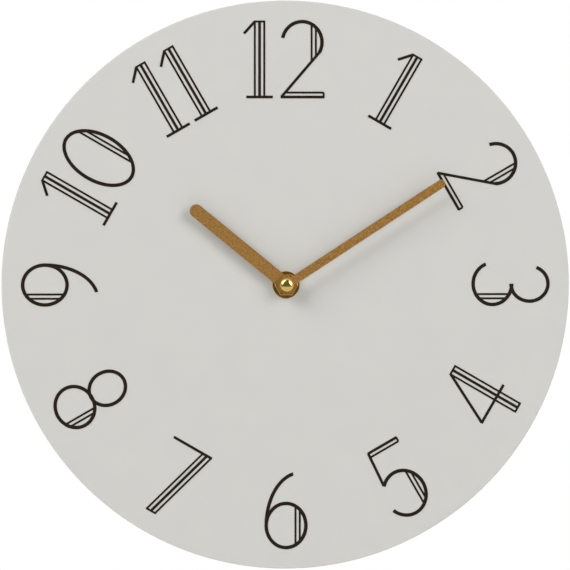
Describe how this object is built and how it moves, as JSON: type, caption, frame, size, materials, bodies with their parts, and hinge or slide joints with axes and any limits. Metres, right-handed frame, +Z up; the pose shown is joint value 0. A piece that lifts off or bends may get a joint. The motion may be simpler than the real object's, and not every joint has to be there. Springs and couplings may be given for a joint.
{
  "type": "wall clock",
  "caption": "Round frameless wall clock: a pale board dial with thin-line figures, two straight bronze hands with round tips, and a battery quartz movement with a hanging tab behind.",
  "frame": {"origin": "the point on the wall plane behind the hands' axis, on the flat back of the rear cover", "axes": "+Z up, +X to the right as seen by someone reading the dial, +Y out of the back into the wall"},
  "size_m": [0.3, 0.0336, 0.3],
  "materials": {
    "dial_paper": "matt printed sheet",
    "fibreboard": "medium density fibreboard",
    "ink": "dark brown-black ink",
    "bronze_paint": "matt metallic bronze",
    "polished_brass": "polished",
    "turned_brass": "turned brass",
    "black_plastic": "fine matt moulding",
    "white_plastic": "satin moulding",
    "black_rubber": "matt rubber",
    "steel": "plain steel",
    "magnet": "pressed magnet",
    "copper_wire": "enamelled copper wire",
    "circuit": "phenolic board",
    "resin": "potting resin",
    "battery_sleeve": "printed film over a steel can"
  },
  "bodies": {
    "clock_body": {"dial_board": "fibreboard", "dial_sheet": "dial_paper", "figure_1_one": "ink", "figure_2_two": "ink", "figure_3_three": "ink", "figure_4_four": "ink", "figure_5_five": "ink", "figure_6_six": "ink", "figure_7_seven": "ink", "figure_8_eight": "ink", "figure_9_nine": "ink", "figure_10_one": "ink", "figure_10_zero": "ink", "figure_11_one_1": "ink", "figure_11_one_2": "ink", "figure_12_one": "ink", "figure_12_two": "ink", "gasket": "black_rubber", "face_washer": "turned_brass", "hex_nut": "turned_brass", "threaded_bushing": "turned_brass", "front_case": "black_plastic", "rear_cover": "black_plastic", "hanging_tab": "black_plastic", "train_plate": "white_plastic", "stator": "steel", "coil_core": "steel", "coil_bobbin": "white_plastic", "coil_winding": "copper_wire", "circuit_board": "circuit", "chip_cap": "resin", "quartz_crystal": "steel", "battery_cell": "battery_sleeve", "battery_terminal": "steel", "positive_contact": "steel", "negative_contact": "steel"},
    "minute_set": {"minute_hand": "bronze_paint", "cap_nut": "polished_brass", "minute_pipe": "turned_brass", "clutch_spring": "steel", "retaining_ring": "steel"},
    "hour_set": {"hour_hand": "bronze_paint", "hour_hand_collet": "turned_brass", "hour_wheel": "white_plastic"},
    "setting_set": {"minute_wheel": "white_plastic", "setting_knob": "white_plastic"},
    "rotor_set": {"rotor_pinion": "white_plastic", "rotor_magnet": "magnet"},
    "intermediate_set": {"intermediate_wheel": "white_plastic"},
    "seconds_set": {"seconds_wheel": "white_plastic"},
    "third_set": {"third_wheel": "white_plastic"},
    "centre_set": {"centre_wheel": "white_plastic"}
  },
  "joints": [
    {"name": "minute_turn", "type": "hinge", "parent": "clock_body", "child": "minute_set", "pos_m": [0, -0.03, 0], "axis": [0, 1, 0], "continuous": true},
    {"name": "hour_turn", "type": "hinge", "parent": "clock_body", "child": "hour_set", "pos_m": [0, -0.028, 0], "axis": [0, 1, 0], "continuous": true},
    {"name": "setting_turn", "type": "hinge", "parent": "clock_body", "child": "setting_set", "pos_m": [-0.0094, -0.0014, 0.00342], "axis": [0, 1, 0], "continuous": true},
    {"name": "rotor_turn", "type": "hinge", "parent": "clock_body", "child": "rotor_set", "pos_m": [0.0144, -0.005, 0.0053], "axis": [0, 1, 0], "continuous": true},
    {"name": "intermediate_turn", "type": "hinge", "parent": "clock_body", "child": "intermediate_set", "pos_m": [0.0091, -0.004, 0], "axis": [0, 1, 0], "continuous": true},
    {"name": "seconds_turn", "type": "hinge", "parent": "clock_body", "child": "seconds_set", "pos_m": [0, -0.003, 0], "axis": [0, 1, 0], "continuous": true},
    {"name": "third_turn", "type": "hinge", "parent": "clock_body", "child": "third_set", "pos_m": [0, -0.005, 0.009], "axis": [0, 1, 0], "continuous": true},
    {"name": "centre_turn", "type": "hinge", "parent": "clock_body", "child": "centre_set", "pos_m": [0, -0.007, 0], "axis": [0, 1, 0], "continuous": true}
  ],
  "couplings": [
    {"joint": "setting_turn", "follows": "minute_turn", "ratio": -0.33333},
    {"joint": "hour_turn", "follows": "minute_turn", "ratio": 0.083333},
    {"joint": "intermediate_turn", "follows": "rotor_turn", "ratio": -0.2},
    {"joint": "seconds_turn", "follows": "rotor_turn", "ratio": 0.033333},
    {"joint": "third_turn", "follows": "rotor_turn", "ratio": -0.0044444},
    {"joint": "centre_turn", "follows": "rotor_turn", "ratio": 0.00055556}
  ]
}
